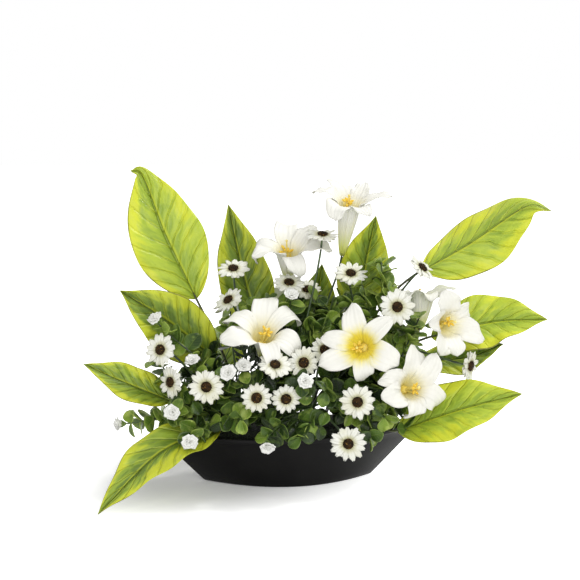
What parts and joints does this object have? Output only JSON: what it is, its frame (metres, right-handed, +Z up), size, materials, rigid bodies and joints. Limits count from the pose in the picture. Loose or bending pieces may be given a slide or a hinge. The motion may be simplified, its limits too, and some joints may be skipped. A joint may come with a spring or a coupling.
{
  "type": "flower arrangement",
  "caption": "Table centrepiece: artificial lilies, daisies, bud sprigs and broad variegated leaves, fanned out of a long black boat-shaped bowl and held in floral foam.",
  "frame": {"origin": "middle of the bowl's flat underside, on the table", "axes": "+X along the bowl's length to the right as seen from the front, +Y to the back, +Z up"},
  "size_m": [0.52, 0.2979, 0.351],
  "materials": {
    "bowl": "satin black moulded plastic",
    "foam": "dark green open-cell floral foam",
    "leaf": "printed polyester leaf, mid green with yellow-green edges and veins",
    "lily": "soft matt cream white petals with a yellow throat",
    "daisy": "matt white petals round a dark brown disc",
    "stem": "dark green moulded stem",
    "sprig": "dark green round leaves with paler rims, and small white buds",
    "fern": "very dark green moulded needles"
  },
  "bodies": {
    "root": {"bowl": "bowl", "box_sprig_right": "sprig", "bud_sprig_centre": "sprig", "bud_sprig_far_left": "sprig", "bud_sprig_front": "sprig", "bud_sprig_left": "sprig", "bud_sprig_middle_left": "sprig", "daisy_01": "daisy", "daisy_02": "daisy", "daisy_03": "daisy", "daisy_04": "daisy", "daisy_05": "daisy", "daisy_06": "daisy", "daisy_07": "daisy", "daisy_08": "daisy", "daisy_09": "daisy", "daisy_10": "daisy", "daisy_11": "daisy", "daisy_12": "daisy", "daisy_13": "daisy", "daisy_14": "daisy", "daisy_15": "daisy", "daisy_16": "daisy", "daisy_17": "daisy", "daisy_18": "daisy", "daisy_19": "daisy", "daisy_20": "daisy", "daisy_21": "daisy", "daisy_stem_back": "stem", "daisy_stem_centre": "stem", "daisy_stem_front": "stem", "daisy_stem_left": "stem", "daisy_stem_right": "stem", "fern_sprig": "fern", "floral_foam": "foam", "leaf_back_centre": "leaf", "leaf_back_left": "leaf", "leaf_back_right": "leaf", "leaf_left": "leaf", "leaf_low_left": "leaf", "leaf_low_right": "leaf", "leaf_rear_left": "leaf", "leaf_rear_right": "leaf", "leaf_right": "leaf", "leaf_table": "leaf", "leaf_top_left": "leaf", "leaf_top_right": "leaf", "leaf_under_right": "leaf", "lily_back_right": "lily", "lily_centre": "lily", "lily_front_right": "lily", "lily_rear": "lily", "lily_right": "lily", "lily_stem_front": "stem", "lily_stem_left": "stem", "lily_stem_right": "stem", "lily_stem_tall": "stem", "lily_top": "lily", "lily_top_left": "lily", "lily_yellow": "lily"}
  },
  "joints": []
}
